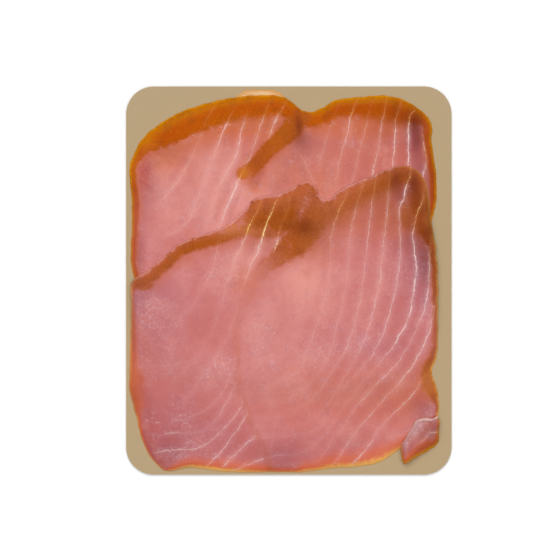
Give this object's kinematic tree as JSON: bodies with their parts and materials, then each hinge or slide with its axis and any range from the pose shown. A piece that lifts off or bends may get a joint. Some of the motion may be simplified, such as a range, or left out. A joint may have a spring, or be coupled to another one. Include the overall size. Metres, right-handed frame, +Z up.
{
  "type": "sliced cold smoked tuna on a backing card",
  "caption": "Thin slices of cold smoked tuna, shingled flat on a rounded tan backing card, with smoked brown rims and pale muscle lines.",
  "frame": {"origin": "under the middle of the card, on the surface that the card lies on", "axes": "+X to the right of the card seen from above, +Y along the card towards its top edge, +Z up"},
  "size_m": [0.16, 0.1908, 0.0075],
  "materials": {
    "card_board": "satin",
    "upper_flesh": "moist",
    "lower_flesh": "moist",
    "scrap_flesh": "moist",
    "corner_flesh": "moist"
  },
  "bodies": {
    "root": {"backing_card": "card_board", "top_scrap": "scrap_flesh", "upper_slice": "upper_flesh", "lower_slice": "lower_flesh", "corner_piece": "corner_flesh"}
  },
  "joints": []
}
